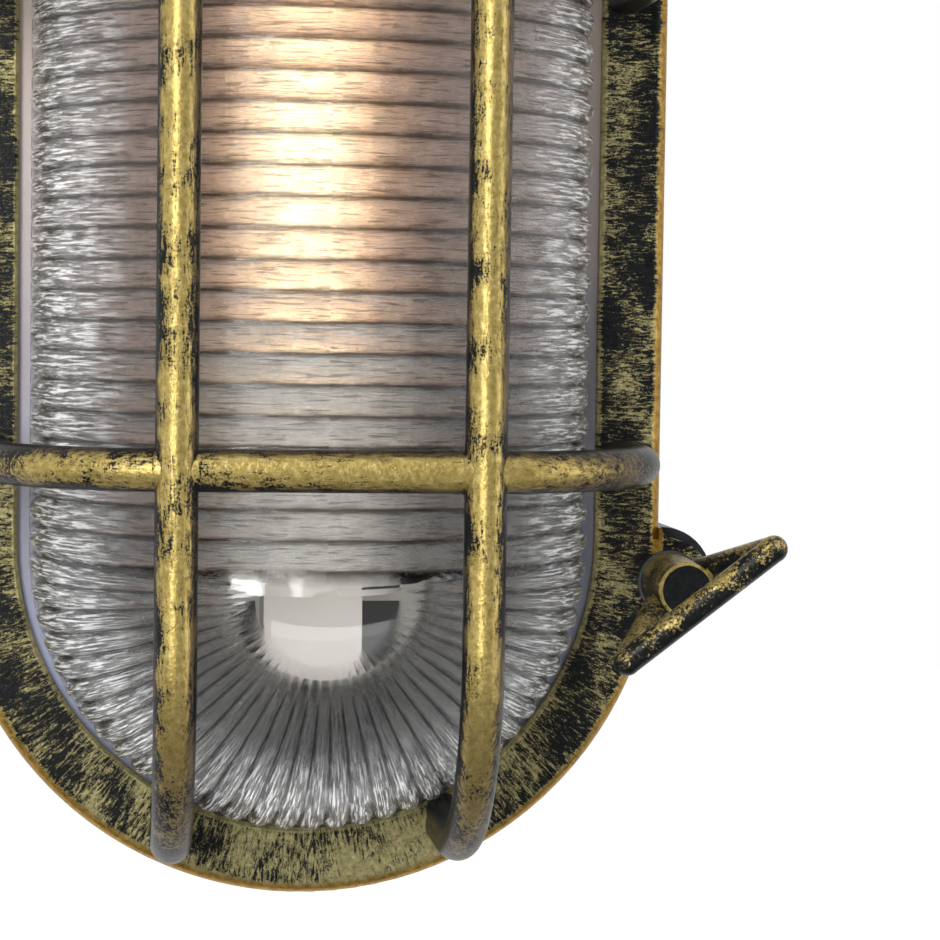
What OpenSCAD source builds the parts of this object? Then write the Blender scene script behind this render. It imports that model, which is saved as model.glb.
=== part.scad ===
// Oblong caged bulkhead wall light with a ribbed glass.
// Every piece is drawn lying on its back: X across, Y along the light, Z out of the wall.
// upright() then stands it on the wall: +Z up, the wall at Y = 0 and the room towards -Y.

/* [Oblong outline] */
// Half the length of the straight sides
straight_half = 69; // [60:1:90]
// End radius of the front frame
frame_r = 77.5; // [75:0.5:84]
// Width of the front frame's flange, from its outer edge to the glass opening
flange_w = 14.7; // [14:0.1:15.5]

/* [Front frame] */
// Thickness of the flange
frame_t = 7.7; // [7:0.1:9]
// Rounding of the flange's outer front edge
edge_r = 3.6; // [2:0.2:4]
// Thickness of the lip that holds the glass from the front
lip_t = 3; // [2.5:0.1:3.4]
// Gap between the housing rim and the back of the front frame
seam = 0.3; // [0.2:0.05:0.5]

/* [Cage] */
// Radius of the cage bars
bar_r = 4.2; // [3:0.1:5]
// Height of the bars' centre line over the front of the flange
bar_h = 60; // [58:0.5:64]
// Distance of each long bar from the middle
long_bar_x = 30; // [26:0.5:34]
// Distance of each cross bar from the middle
cross_bar_y = 50.5; // [45:0.5:56]
// How much lower the cross bars lie than the long bars
cross_drop = 1; // [0:0.25:2]
// Radius of the bends at the ends of the long bars
long_bend = 45; // [36:1:50]
// Radius of the bends at the ends of the cross bars
cross_bend = 40; // [34:1:46]
// How far the feet of the long bars reach in from the middle of their legs
foot_reach = 7; // [5:0.5:7]
// How far the feet of the cross bars reach in from the middle of their legs
cross_foot_reach = 5; // [4.5:0.5:5.5]
// How far inside the flange's middle line the legs of the long bars stand
leg_in = 1.4; // [0:0.1:2]
// How far inside the flange's middle line the legs of the cross bars stand
cross_leg_in = 2.2; // [1:0.1:2.5]

/* [Housing] */
// Depth of the housing from the wall to its rim
housing_d = 42; // [38:0.5:50]
// How far the front frame reaches past the housing all round
frame_over = 2; // [1.5:0.1:2.5]
// Thickness of the housing's side wall
wall_t = 3; // [2.5:0.1:3.4]
// Thickness of the housing's back
back_t = 3.5; // [3:0.1:5]
// Rounding of the housing's back edge
back_edge_r = 3; // [1:0.5:3]

/* [Glass] */
// How much smaller the radius of the glass's foot is than that of the opening
glass_gap = 2.5; // [2.5:0.1:3]
// How much further out the middles of the glass's round ends lie than the frame's
glass_over = 2.2; // [0:0.1:2.2]
// Rise of the dome over the front of the flange
dome_rise = 51; // [46:0.5:52]
// Fullness of the dome across
dome_full = 2.3; // [1.8:0.1:2.6]
// Fullness of the dome along its rise
dome_lift = 1.8; // [1.4:0.1:2]
// Wall of the glass
glass_t = 4; // [3:0.5:5]
// Depth of the ribs
rib_depth = 1.2; // [0.4:0.1:1.6]
// Ribs along each straight side
side_ribs = 23; // [15:1:25]
// Ribs round each end
end_ribs = 33; // [21:1:35]
// How much further out than the middles of the round ends the fanned ribs meet
fan_shift = 3.5; // [0:0.5:8]
// Share of an end's radius that the smooth spot round the meeting point takes
spot_share = 0.2; // [0.1:0.02:0.3]
// How far the glass's rim reaches under the flange
rim_over = 2; // [1.5:0.1:2]
// Thickness of that rim
rim_t = 3.7; // [3:0.1:4]

/* [Gasket and seal] */
// Thickness of the glass gasket's lips
lip_rubber_t = 1.4; // [1:0.1:1.6]
// Thickness of the glass gasket's outer web
web_rubber_t = 1.2; // [0.8:0.1:1.4]
// Width of the seal between frame and housing
seal_w = 3.4; // [3:0.1:4]
// Thickness of that seal
seal_t = 2.4; // [2:0.1:3]

/* [Closing screws] */
// How far outside the flange's edge the screw axes stand
lug_out = 1.8; // [1.5:0.1:3.5]
// How far beyond the straight sides' ends the screw axes stand
lug_beyond = 8.6; // [7:0.2:12]
// Radius of the front frame's lugs
lug_r = 9.4; // [9:0.1:10.5]
// Radius of the housing's ears
ear_r = 11.5; // [10:0.1:12]
// Radius of the screw's shank
shank_r = 3; // [2.5:0.1:3.2]
// Radius of the collar at its foot
collar_r = 6.5; // [6:0.1:7]
// Height of the collar
collar_h = 18.2; // [14:0.2:20]
// Radius of the rod that the ring handle is made of
rod_r = 2.8; // [2.4:0.1:3]
// Half the length of the ring handle's front bar, to the centres of its corners
ring_half = 19.2; // [15:0.1:20]
// How far the front bar's middle lies off the screw axis, along the bar
ring_shift = -1.8; // [-3:0.1:3]
// Height of the front bar over the front of the flange
ring_h = 39.4; // [36:0.2:42]
// Turn of the ring handle from level
ring_turn = 37.5; // [0:0.5:90]
// Thread depth of the screw in the housing's ear
screw_grip = 10; // [8:0.5:11]
// How far the lugs' faces stand out from the front of the flange
lug_rise = 0.3; // [0.1:0.1:1]
// Thickness of the washer under the collar
washer_t = 1.2; // [0.8:0.1:1.6]

/* [Hinges] */
// Distance of each hinge above and below the middle
hinge_y = 55; // [45:1:62]
// Radius of the knuckles
knuckle_r = 5; // [4.5:0.1:5.2]
// Radius of the pins
pin_r = 2.5; // [2:0.1:2.6]
// Length of the frame's knuckle
inner_knuckle = 10; // [8:0.5:14]
// Length of each of the housing's knuckles
outer_knuckle = 6; // [5:0.5:8]

/* [Wall fixing] */
// Spacing of the wall screws across the light
wall_screw_dx = 90; // [80:1:96]
// Spacing of the wall screws along the light
wall_screw_dy = 120; // [110:1:130]
// Radius of the wall screw holes
wall_hole_r = 2.75; // [2.2:0.05:3]
// Distance of the cable entry from the housing's upper end
cable_in = 44.5; // [40:0.5:48]
// Radius of the cable that the grommet takes
cable_r = 4; // [3:0.5:5]
// Radius of the hole that the grommet sits in
grommet_r = 10; // [9:0.5:11]

/* [Lamp holder] */
// Distance of the lamp's axis from the wall
lamp_z = 50; // [48:0.5:52]
// Position of the holder's mouth along the light
holder_top = -22; // [-28:1:-18]
// Radius of the holder's ribbed skirt
skirt_r = 23; // [22:0.5:24]
// Length of the ribbed skirt
skirt_len = 38; // [34:1:42]
// Radius of the holder's body under the skirt
body_r = 20; // [18:0.5:21]
// Length of that body
body_len = 19; // [16:1:22]
// Width of the square neck
neck_w = 21; // [18:0.5:24]
// Length of the square neck
neck_len = 20; // [16:1:22]
// Number of ridges round the skirt
skirt_ridges = 30; // [20:1:40]
// Radius of the holder's hollow
socket_r = 17.5; // [17:0.1:18]

/* [Lamp] */
// Radius of the tubular bulb
bulb_r = 15; // [13:0.5:18]
// Length of the bulb outside its cap
bulb_len = 112; // [90:1:125]
// Radius of the bulb's screw cap
cap_r = 13; // [12.8:0.1:13.2]
// Length of the screw cap's threaded part
cap_len = 19; // [17:0.5:22]

/* [Bracket] */
// Distance of the bracket's top plate from the wall
bracket_z = 38; // [34:0.5:39]
// Width of the top plate
bracket_w = 56; // [54:1:60]
// Length of the top plate along the light
bracket_len = 23; // [21:1:25]
// Thickness of the bracket's sheet
sheet_t = 1.5; // [1.2:0.1:2]
// Width of each window beside the neck
window_w = 10; // [8:0.5:11]

/* [Terminals] */
// Distance of the terminal block from the housing's upper end
block_in = 20.5; // [18.5:0.5:22]
// Width of the terminal block
block_w = 34; // [30:1:38]
// Depth of the terminal block along the light
block_d = 17; // [15:1:18]
// Height of the terminal block
block_h = 15; // [13:1:17]
// Radius of the internal leads over their insulation
lead_r = 1.4; // [1:0.1:1.6]

/* [Hidden] */
$fn = 96;
// Small clearance between pieces that are put together by hand
fit = 0.2;
// Clearance round a screw or a pin that has to turn or slide freely
loose = 0.35;
// Clearance of a hinge pin in the knuckle that turns on it
pin_play = 0.1;
// Gap between neighbouring knuckles
knuckle_gap = 0.4;
// How far a cutter reaches past the face that it cuts
past = 1;
// How much wider a clearance hole is than the screw that goes through it
hole_play = 0.15;
// How much wider a threaded hole is drawn than the screw in it
thread_play = 0.02;

open_r = frame_r - flange_w;
housing_r = frame_r - frame_over;
housing_end = straight_half + housing_r;
frame_back = housing_d + seam;
flange_z = frame_back + frame_t;
pocket_top = flange_z - lip_t;
rim_r = open_r + rim_over;
glass_r = open_r - glass_gap;
gasket_r = rim_r + fit + web_rubber_t;
pocket_r = gasket_r + fit;
rim_z = pocket_top - lip_rubber_t - rim_t;
gasket_back = rim_z - lip_rubber_t;
glass_half = straight_half + glass_over;
skirt_glass_r = glass_r - 0.3;
inner_r = housing_r - wall_t;
seal_mid_r = housing_r - wall_t / 2;
groove_top = frame_back + seal_t;

flange_mid_r = (open_r + frame_r) / 2;
bar_z = flange_z + bar_h;
long_leg_y = straight_half + sqrt(pow(flange_mid_r, 2) - pow(long_bar_x, 2)) - leg_in;
cross_leg_x = flange_mid_r - cross_leg_in;
foot_nose_r = bar_r - 0.2;
foot_web_w = 2 * (foot_nose_r - 0.1);
edge_break = 0.7;

corner_fillet = 2.5;
lug_x = frame_r + lug_out;
lug_y = straight_half + lug_beyond;
lug_bottom = frame_back + 0.4;
lug_top = flange_z + lug_rise;
ear_t = 20;
ear_floor = 3;
ear_play = loose + 0.05;
collar_z = lug_top + washer_t;
collar_top_r = collar_r - 0.4;
collar_edge = 0.6;
shank_tip = frame_back - screw_grip;
shank_point = 1;
arm_h = 11;
arm_s = collar_r - 1.2;
corner_ball_r = rod_r + 0.05;

hinge_x = frame_r + knuckle_r + 0.5;
hinge_z = housing_d + seam / 2;
web_drop = 7;
web_foot_w = 2;
knuckle_pitch = (inner_knuckle + outer_knuckle) / 2 + knuckle_gap;
pin_len = inner_knuckle + 2 * (knuckle_gap + outer_knuckle);
pin_head_r = pin_r + 1.1;
pin_head_t = 1.2;

cap_in = 29;
socket_d = 34;
cap_base = holder_top - cap_in;
cap_top = cap_base + cap_len;
bulb_neck_len = 8;
shell_r = cap_r + 1.6;
shell_len = 22;
shell_floor_t = 1.2;
cap_cone_h = 2;
cap_cone_r = 5;
button_r = 4.5;
button_h = 1;
shell_base = cap_base - cap_cone_h - fit - shell_floor_t;
shell_hole_r = 6;
contact_hole_d = 5;
contact_r = 3;
contact_foot_r = 5;
contact_foot_t = 0.8;
socket_floor = holder_top - socket_d;
skirt_band = 4;
ridge = 1;
ridge_w = 2 * ridge;
holder_foot = holder_top - skirt_len - body_len;
neck_foot = holder_foot - neck_len;
neck_z = bracket_z + sheet_t;
bracket_mid = holder_foot - 0.5 - bracket_len / 2;
foot_w = 13;
leg_inset = 5;
foot_z = 9;
bracket_boss_x = bracket_w / 2 + foot_w / 2;
bracket_boss_r = 4.6;
bracket_screw_r = 2;
bracket_screw_len = 8;
neck_screw_x = 5.5;
neck_screw_r = 1.5;
neck_screw_len = 9;
neck_lead_x = 5;
neck_lead_d = 8;
window_edge = 3.5;

clip_w = 10;
clip_t = 1.1;
clip_r0 = gasket_r - 4;
clip_r1 = inner_r - 0.5;
clip_step = 0.8;
clip_step_in = pocket_r + fit / 2;
clip_step_out = clip_step_in + clip_step;
clip_bend = clip_t / 2;
clip_screw_r = 1.25;
clip_screw_len = 5;
clip_head_r = 2;
clip_head_t = 1.4;
clip_hole_at = clip_step_out + clip_bend + clip_head_r + 0.1;
clip_side_y = 48;
clip_hole_d = 4.5;

block_y = housing_end - block_in;
cable_y = housing_end - cable_in;
block_foot = back_t + 3;
block_top = block_foot + block_h;
block_boss_r = 3.4;
block_screw_len = 13;
block_head_r = 2.2;
block_head_t = 1.5;
block_pitch = 10;
block_screw_x = block_pitch / 2;
block_screw_r = 1.2;
block_seat = block_top - 6;
clamp_screw_r = 2.3;
clamp_dy = 4.5;
clamp_len = block_h - 8;
slot_w = 0.8;
slot_d = 1;
bore_r = lead_r + fit;
bore_z = block_foot + 5;
lead_floor_z = back_t + lead_r + 1;
lead_run_x = 9;
lead_in_block = 3;
lead_out_of_block = block_d / 2 + 1;
earth_x = -36;
earth_in = 40.5;
earth_y = housing_end - earth_in;
earth_boss_h = 6;
earth_boss_r = 4.5;
earth_screw_len = 5.5;
tag_t = 1;
tag_r = 4.2;
tag_w = 4;
barrel_r = bore_r + 0.5;
barrel_at = 4.6;
barrel_len = 6;
screw_hole_floor = 1.5;
m4_head_r = 3.6;
m4_head_t = 2.4;
m3_head_r = 2.4;
m3_head_t = 1.6;

seal_ring_r = 7;
seal_ring_t = 2;
screw_pad_h = back_t + 1;
grommet_flange_r = grommet_r + 3;
grommet_recess = 2;
grommet_web = 3.5;
grommet_top = grommet_recess + grommet_web;
grommet_lip_t = 1.6;
grommet_cone_h = 4;
lead_round_x = grommet_flange_r + 4;

// Stands a piece that was drawn on its back against the wall
module upright() {
    rotate([90, 0, 0]) children();
}

// Carries a profile, drawn as distance from the spine and height, round an oblong outline
module around_oblong(half = straight_half) {
    for (side = [0, 1])
        mirror([side, 0, 0]) rotate([90, 0, 0]) linear_extrude(height = 2 * half, center = true) children();
    for (end = [0, 180])
        rotate([0, 0, end]) translate([0, half, 0]) rotate_extrude(angle = 180) children();
}

// A plain oblong block between two heights
module oblong_block(r, z0, z1, half = straight_half) {
    translate([-r, -half, z0]) cube([2 * r, 2 * half, z1 - z0]);
    for (s = [-1, 1])
        translate([0, s * half, z0]) cylinder(r = r, h = z1 - z0);
}

// A rectangle from [x0, y0] to [x1, y1]
module patch(x0, y0, x1, y1) {
    translate([x0, y0]) square([x1 - x0, y1 - y0]);
}

// The same rectangle with a rounded corner at [x1, y1]
module one_round(x0, y0, x1, y1, r) {
    patch(x0, y0, x1 - r, y1);
    patch(x0, y0, x1, y1 - r);
    translate([x1 - r, y1 - r]) circle(r);
}

// Puts a copy at the upper or the lower closing lug
module at_lug(upper) {
    translate([lug_x, upper ? lug_y : -lug_y, 0]) children();
}

// Outline of a closing lug: a round end and a web back to the casting's side
module lug_outline(r, root_x) {
    circle(r);
    translate([root_x - lug_x, -r]) square([lug_x - root_x, 2 * r]);
}

// Screw that points down -Z, with its head's seat at Z = 0 and a cross recess
module pan_screw(r, length, head_r, head_t) {
    difference() {
        union() {
            translate([0, 0, -length]) cylinder(r = r, h = length);
            cylinder(r1 = head_r, r2 = head_r * 0.8, h = head_t);
        }
        for (turn = [0, 90])
            rotate([0, 0, turn]) translate([-head_r / 2, -slot_w / 2, head_t / 2])
                cube([head_r, slot_w, head_t]);
    }
}

// Hollow corner between a side along Y through the origin and a side along X at corner_fillet
module fillet_patch() {
    bulge = 0.8 * corner_fillet;
    difference() {
        translate([-0.5, 0]) square([corner_fillet + 0.5, corner_fillet + past]);
        translate([corner_fillet / 2 + bulge, corner_fillet / 2 - bulge])
            circle(sqrt(corner_fillet * corner_fillet / 2 + 2 * bulge * bulge));
    }
}

// The housing's knuckles and the webs that carry them
module housing_knuckles() {
    reach = hinge_x - inner_r - 1;
    for (s = [-1, 1], end = [-1, 1])
        translate([-hinge_x, s * hinge_y + end * knuckle_pitch, hinge_z]) {
            rotate([90, 0, 0]) cylinder(r = knuckle_r, h = outer_knuckle, center = true);
            rotate([90, 0, 0]) linear_extrude(height = outer_knuckle, center = true) polygon([
                [-knuckle_r * 0.6, -knuckle_r * 0.8], [0, 0], [0, -seam / 2], [reach, -seam / 2],
                [reach, -knuckle_r - 2 * web_drop], [reach - web_foot_w, -knuckle_r - 2 * web_drop]]);
        }
}

module housing() {
    color("#24262a") upright() difference() {
        union() {
            difference() {
                union() {
                    around_oblong() translate([0, housing_d]) mirror([0, 1])
                        one_round(0, 0, housing_r, housing_d, back_edge_r);
                    for (upper = [false, true])
                        at_lug(upper) translate([0, 0, housing_d - ear_t]) linear_extrude(height = ear_t) {
                            lug_outline(ear_r, inner_r - 5);
                            translate([housing_r - lug_x, upper ? -ear_r : ear_r])
                                mirror([0, upper ? 0 : 1]) translate([0, -corner_fillet]) fillet_patch();
                        }
                    housing_knuckles();
                }
                oblong_block(inner_r, back_t, housing_d + past);
            }
            for (s = [-1, 1]) {
                translate([s * bracket_boss_x, bracket_mid, 0]) cylinder(r = bracket_boss_r, h = foot_z);
                translate([s * block_screw_x, block_y, 0]) cylinder(r = block_boss_r, h = block_foot);
                for (t = [-1, 1])
                    translate([s * wall_screw_dx / 2, t * wall_screw_dy / 2, 0])
                        cylinder(r = seal_ring_r + 1, h = screw_pad_h);
            }
            translate([earth_x, earth_y, 0]) cylinder(r = earth_boss_r, h = earth_boss_h);
            translate([0, cable_y, 0]) cylinder(r = grommet_flange_r + 2, h = grommet_top);
        }
        for (upper = [false, true])
            at_lug(upper) translate([0, 0, housing_d - ear_t + ear_floor])
                cylinder(r = shank_r + ear_play, h = ear_t);
        for (s = [-1, 1]) {
            translate([-hinge_x, s * hinge_y, hinge_z]) rotate([90, 0, 0])
                cylinder(r = pin_r, h = pin_len + 2 * past, center = true);
            translate([s * bracket_boss_x, bracket_mid, screw_hole_floor])
                cylinder(r = bracket_screw_r + thread_play, h = foot_z);
            translate([s * block_screw_x, block_y, screw_hole_floor])
                cylinder(r = block_screw_r + thread_play, h = block_foot);
            for (t = [-1, 1])
                translate([s * wall_screw_dx / 2, t * wall_screw_dy / 2, -past])
                    cylinder(r = wall_hole_r, h = screw_pad_h + 2 * past);
        }
        translate([earth_x, earth_y, screw_hole_floor])
            cylinder(r = bracket_screw_r + thread_play, h = earth_boss_h);
        translate([0, cable_y, -past]) cylinder(r = grommet_r, h = grommet_top + 2 * past);
        translate([0, cable_y, -past]) cylinder(r = grommet_flange_r + fit, h = grommet_recess + past);
    }
}

// A cage bar: straight, with a bend down to the flange at each end and a foot that widens inwards
module cage_bar(half_span, bend, height, reach) {
    leg = height - bend;
    nose = bend - reach + foot_nose_r;
    nose_top = sqrt(bend * bend - nose * nose);
    translate([0, 0, height]) rotate([90, 0, 0])
        cylinder(r = bar_r, h = 2 * (half_span - bend), center = true);
    for (end = [0, 180])
        rotate([0, 0, end]) translate([0, half_span - bend, leg]) {
            rotate([90, 0, 90]) rotate_extrude(angle = 90) translate([bend, 0]) circle(bar_r);
            translate([0, bend, -leg - past]) cylinder(r = bar_r, h = leg + past);
            translate([0, nose, -leg - past]) cylinder(r = foot_nose_r, h = leg + past + nose_top);
            translate([-foot_web_w / 2, nose, -leg - past])
                cube([foot_web_w, (bend - nose) * 0.85, leg + past + nose_top / 2]);
        }
}

module front_frame() {
    color("#2b2a26") upright() difference() {
        union() {
            around_oblong() difference() {
                one_round(open_r, frame_back, frame_r, flange_z, edge_r);
                translate([open_r, flange_z]) rotate(45) square(edge_break * sqrt(2), center = true);
            }
            for (s = [-1, 1]) {
                translate([s * long_bar_x, 0, flange_z]) cage_bar(long_leg_y, long_bend, bar_h, foot_reach);
                translate([0, s * cross_bar_y, flange_z]) rotate([0, 0, 90])
                    cage_bar(cross_leg_x, cross_bend, bar_h - cross_drop, cross_foot_reach);
                translate([-hinge_x, s * hinge_y, hinge_z]) {
                    rotate([90, 0, 0]) cylinder(r = knuckle_r, h = inner_knuckle, center = true);
                    translate([0, -inner_knuckle / 2, seam / 2])
                        cube([hinge_x - pocket_r - fit - 3, inner_knuckle, 0.88 * knuckle_r - seam / 2]);
                }
            }
            for (upper = [0, 1])
                mirror([0, 1 - upper, 0]) translate([lug_x, lug_y, lug_bottom])
                    linear_extrude(height = lug_top - lug_bottom) {
                        lug_outline(lug_r, frame_r - 4);
                        translate([frame_r - lug_x, -lug_r - corner_fillet]) fillet_patch();
                    }
        }
        oblong_block(pocket_r, frame_back - past, pocket_top);
        around_oblong() patch(seal_mid_r - seal_w / 2 - fit / 2, frame_back - past,
            seal_mid_r + seal_w / 2 + fit / 2, groove_top);
        for (upper = [false, true])
            at_lug(upper) translate([0, 0, frame_back - past])
                cylinder(r = shank_r + loose, h = frame_t + 2 * past);
        for (s = [-1, 1])
            translate([-hinge_x, s * hinge_y, hinge_z]) rotate([90, 0, 0])
                cylinder(r = pin_r + pin_play, h = inner_knuckle + 2 * past, center = true);
        at_clips() translate([clip_hole_at, 0, frame_back - past])
            cylinder(r = clip_screw_r + thread_play, h = past + clip_hole_d);
    }
}

// Turns a piece drawn at +X to each place where a clip holds the glass
module at_clips() {
    for (s = [-1, 1]) {
        for (turn = [0, 180])
            translate([0, s * clip_side_y, 0]) rotate([0, 0, turn]) children();
        translate([0, s * straight_half, 0]) rotate([0, 0, s * 90]) children();
    }
}

module glass_clips() {
    color("#b9bcc0") upright() at_clips() difference() {
        rotate([90, 0, 0]) linear_extrude(height = clip_w, center = true) polygon([
            [clip_r0, gasket_back - clip_t], [clip_step_in + clip_bend, gasket_back - clip_t],
            [clip_step_out + clip_bend, frame_back - clip_t], [clip_r1, frame_back - clip_t],
            [clip_r1, frame_back], [clip_step_out, frame_back], [clip_step_in, gasket_back],
            [clip_r0, gasket_back]]);
        translate([clip_hole_at, 0, frame_back - clip_t - past])
            cylinder(r = clip_screw_r + hole_play, h = clip_t + 2 * past);
    }
}

module clip_screws() {
    color("#c9ccd0") upright() at_clips() translate([clip_hole_at, 0, frame_back - clip_t])
        mirror([0, 0, 1]) pan_screw(clip_screw_r, clip_screw_len, clip_head_r, clip_head_t);
}

module glass_gasket() {
    color("#8a8d97") upright() difference() {
        oblong_block(gasket_r, gasket_back, pocket_top);
        oblong_block(rim_r + fit, rim_z, rim_z + rim_t);
        oblong_block(glass_r - 0.1, gasket_back - past, pocket_top + past, glass_half);
    }
}

module frame_seal() {
    color("#55585c") upright() around_oblong()
        patch(seal_mid_r - seal_w / 2, housing_d, seal_mid_r + seal_w / 2, groove_top);
}

// The glass is a grid: round the outline in steps, three to a rib, and from the rim up to the spine in
// rings. The spine runs along the top, where the ribs of both sides meet, and ends in the two points
// round which the end ribs fan out.
rib_steps = 3;
side_steps = side_ribs * rib_steps;
end_steps = end_ribs * rib_steps;
loop_steps = 2 * (side_steps + end_steps);
outer_rows = [0, 0.14, 0.34, 0.56, 0.76, 0.92];
inner_rows = [0.9, 0.6, 0.25];

// Where step i lies: 0 right side, 1 upper end, 2 left side, 3 lower end
function zone(i) = i < side_steps ? 0 : i < side_steps + end_steps ? 1
    : i < 2 * side_steps + end_steps ? 2 : 3;
// First step of a zone
function zone_start(z) = z == 0 ? 0 : z == 1 ? side_steps : z == 2 ? side_steps + end_steps
    : 2 * side_steps + end_steps;
// How far along its zone step i lies, from 0 to 1
function along(i) = let (z = zone(i)) (i - zone_start(z)) / (z % 2 == 0 ? side_steps : end_steps);
// Step i's point on the oblong of end radius r and straight half length half
function outline_point(i, r, half) = let (z = zone(i), t = along(i), s = z < 2 ? 1 : -1)
    z % 2 == 0 ? s * [r, half * (2 * t - 1)] : s * [r * cos(180 * t), half + r * sin(180 * t)];
// The spine's points: the lower fan point, one for each side step, the upper fan point
function spine_index(i) = let (z = zone(i)) z == 0 ? 1 + i : z == 1 ? side_steps + 2
    : z == 2 ? side_steps + 1 - (i - zone_start(2)) : 0;
function spine_y(j) = j == 0 ? -glass_half - fan_shift : j == side_steps + 2 ? glass_half + fan_shift
    : glass_half * (2 * (j - 1) / side_steps - 1);
// How far out the dome reaches at share u of its rise
function dome_share(u) = pow(1 - pow(u, dome_lift), 1 / dome_full);
// Slope of the dome's skin there, as a unit vector out and up
function skin_normal(u) = let (n = [dome_full * pow(dome_share(u), dome_full - 1) / glass_r,
    dome_lift * pow(u, dome_lift - 1) / dome_rise]) n / norm(n);
// Depth of the groove between two ribs at step i: none round the fan points
function groove(i, share) = i % rib_steps != 0 ? 0
    : zone(i) % 2 == 0 ? 1 : min(1, max(0, (share - spot_share) / spot_share));
function dome_point(i, u, inset, cut) = let (share = dome_share(u), n = skin_normal(u),
        rim = outline_point(i, glass_r - inset, glass_half), middle = [0, spine_y(spine_index(i))],
        out = rim - middle, d = cut * groove(i, share), p = middle + out * (share - d * n[0] / norm(out)))
    [p[0], p[1], flange_z + (dome_rise - inset) * u - d * n[1]];
function dome_ring(u, inset, cut) = [for (i = [0 : loop_steps - 1]) dome_point(i, u, inset, cut)];
function flat_ring(r, z, half) = [for (i = [0 : loop_steps - 1]) concat(outline_point(i, r, half), [z])];
function spine_row(inset, cut) = [for (j = [0 : side_steps + 2])
    [0, spine_y(j), flange_z + dome_rise - inset - ((j - 1) % rib_steps == 0 && j > 0 ? cut : 0)]];
// Faces between the ring that starts at a and the ring that starts at b
function ring_faces(a, b) = [for (i = [0 : loop_steps - 1]) let (n = (i + 1) % loop_steps)
    each [[a + i, b + n, a + n], [a + i, b + i, b + n]]];
// Faces between the last ring, which starts at a, and the spine, which starts at b
function crown_faces(a, b) = [for (i = [0 : loop_steps - 1]) let (n = (i + 1) % loop_steps,
        s = spine_index(i), t = spine_index(n), step = t > s ? 1 : -1)
    each concat([[a + n, a + i, b + s]],
        s == t ? [] : [for (m = [s : step : t - step]) [a + n, b + m, b + m + step]])];
function turned(faces) = [for (f = faces) [f[0], f[2], f[1]]];

module glass() {
    outer = concat([flat_ring(rim_r, rim_z, straight_half), flat_ring(rim_r, rim_z + rim_t, straight_half),
        flat_ring(skirt_glass_r, rim_z + rim_t, glass_half),
        flat_ring(skirt_glass_r, pocket_top + 1, glass_half)],
        [for (u = outer_rows) dome_ring(u, 0, rib_depth)]);
    inner = concat([for (u = inner_rows) dome_ring(u, glass_t, 0)],
        [flat_ring(glass_r - glass_t, rim_z, glass_half)]);
    spine_len = side_steps + 3;
    spine_at = len(outer) * loop_steps;
    inner_at = spine_at + 2 * spine_len;
    points = concat([for (row = outer) each row], spine_row(0, rib_depth), spine_row(glass_t, 0),
        [for (row = inner) each row]);
    faces = concat([for (k = [0 : len(outer) - 2]) each ring_faces(k * loop_steps, (k + 1) * loop_steps)],
        crown_faces(spine_at - loop_steps, spine_at), turned(crown_faces(inner_at, spine_at + spine_len)),
        [for (k = [0 : len(inner) - 2])
            each ring_faces(inner_at + k * loop_steps, inner_at + (k + 1) * loop_steps)],
        ring_faces(inner_at + (len(inner) - 1) * loop_steps, 0));
    color("#dfe6ea", 0.4) upright() polyhedron(points = points, faces = faces, convexity = 8);
}

module hinge_pins() {
    color("#8a7a3a") upright() for (s = [-1, 1])
        translate([-hinge_x, s * hinge_y, hinge_z]) rotate([-90, 0, 0]) {
            cylinder(r = pin_r, h = pin_len, center = true);
            translate([0, 0, pin_len / 2]) cylinder(r = pin_head_r, h = pin_head_t);
        }
}

// Point of the ring handle: s along its front bar, h over the front of the flange
function ring_point(s, h) = [s, 0, flange_z + h];

// A straight rod between two points
module rod(a, b, r) {
    d = b - a;
    translate(a) rotate([0, acos(d[2] / norm(d)), atan2(d[1], d[0])]) cylinder(r = r, h = norm(d));
}

// The closing screw: shank, collar and a three-cornered ring handle, cast in one
module ring_screw(turn) {
    left = ring_point(ring_shift - ring_half, ring_h);
    right = ring_point(ring_shift + ring_half, ring_h);
    translate([0, 0, shank_tip + shank_point]) cylinder(r = shank_r, h = collar_z - shank_tip);
    translate([0, 0, shank_tip]) cylinder(r1 = shank_r - shank_point, r2 = shank_r, h = shank_point);
    translate([0, 0, collar_z]) cylinder(r1 = collar_r, r2 = collar_top_r, h = collar_h - collar_edge);
    translate([0, 0, collar_z + collar_h - collar_edge])
        cylinder(r1 = collar_top_r, r2 = collar_top_r - collar_edge, h = collar_edge);
    rotate([0, 0, turn]) {
        rod(left, right, rod_r);
        rod(ring_point(-arm_s, arm_h), left, rod_r);
        rod(ring_point(arm_s, arm_h), right, rod_r);
        for (p = [left, right])
            translate(p) sphere(corner_ball_r);
    }
}

module ring_screw_lower() {
    color("#9a8b45") upright() at_lug(false) ring_screw(ring_turn);
}

module ring_screw_upper() {
    color("#9a8b45") upright() at_lug(true) ring_screw(-ring_turn);
}

module screw_washer() {
    translate([0, 0, lug_top]) difference() {
        cylinder(r = collar_r + 0.5, h = washer_t);
        translate([0, 0, -past]) cylinder(r = shank_r + pin_play, h = washer_t + 2 * past);
    }
}

module screw_washer_lower() {
    color("#b9bcc0") upright() at_lug(false) screw_washer();
}

module screw_washer_upper() {
    color("#b9bcc0") upright() at_lug(true) screw_washer();
}

// Lays a piece that is drawn round Z along the lamp's axis, with its +Z up the light
module on_lamp_axis(y) {
    translate([0, y, lamp_z]) rotate([-90, 0, 0]) children();
}

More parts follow.
